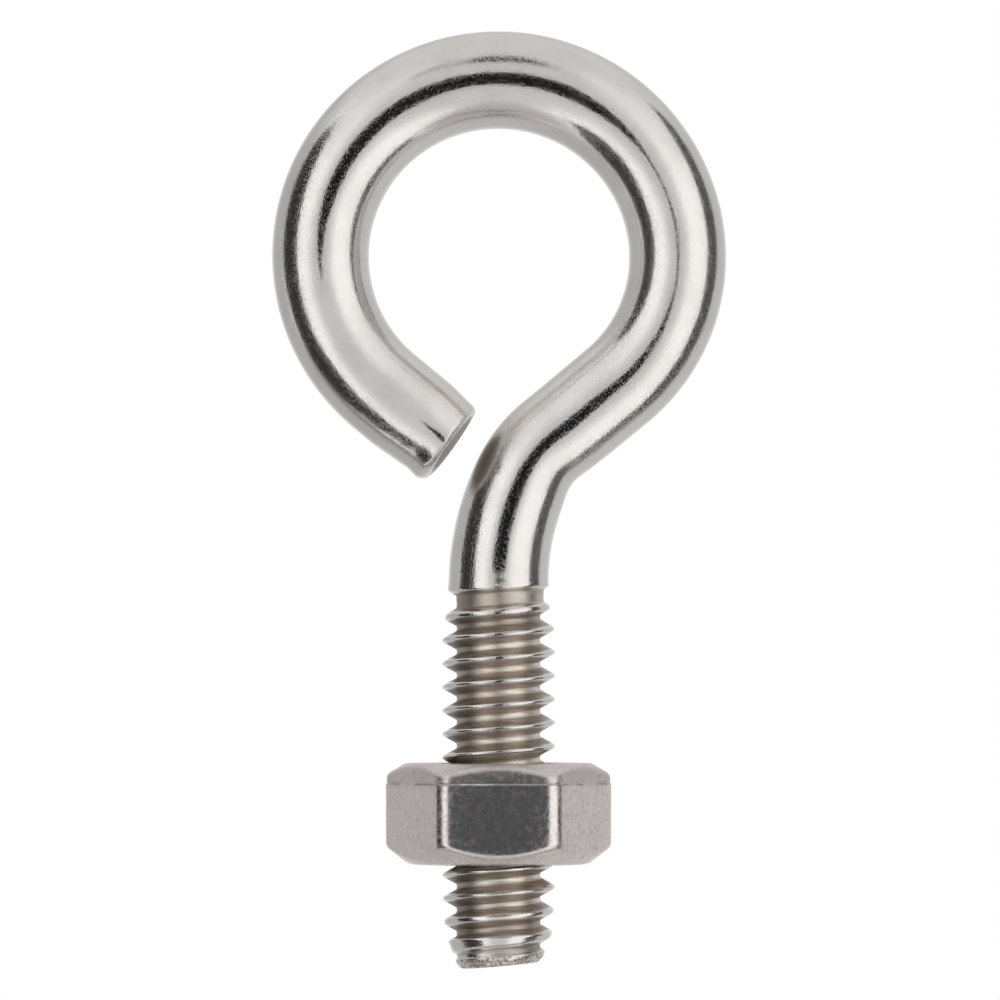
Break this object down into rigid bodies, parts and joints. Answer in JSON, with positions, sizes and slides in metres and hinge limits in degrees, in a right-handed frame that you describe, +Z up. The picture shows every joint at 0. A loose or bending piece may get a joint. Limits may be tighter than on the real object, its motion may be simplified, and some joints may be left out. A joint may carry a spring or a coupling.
{
  "type": "eye bolt",
  "caption": "Bent-wire eye bolt: an open round eye on a swan-neck shank with a rolled right-hand thread and a chamfered hex nut.",
  "frame": {"origin": "lowest point of the threaded tip, on the shank's axis", "axes": "+Z up the shank to the eye, +X to the side the neck swings out to, the eye lies in the XZ plane, +Y across the eye"},
  "size_m": [0.0247, 0.0108, 0.0508],
  "materials": {
    "wire_steel": "bright polished stainless wire, duller on the thread's flanks",
    "nut_steel": "satin cold-formed stainless, bright on the rounded edges"
  },
  "bodies": {
    "eye_bolt": {"eye_bolt": "wire_steel"},
    "hex_nut": {"hex_nut": "nut_steel"}
  },
  "joints": [
    {"name": "nut_travel", "type": "slide", "parent": "eye_bolt", "child": "hex_nut", "axis": [0, 0, 1], "range_m": [-0.01397, 0.00889]}
  ]
}
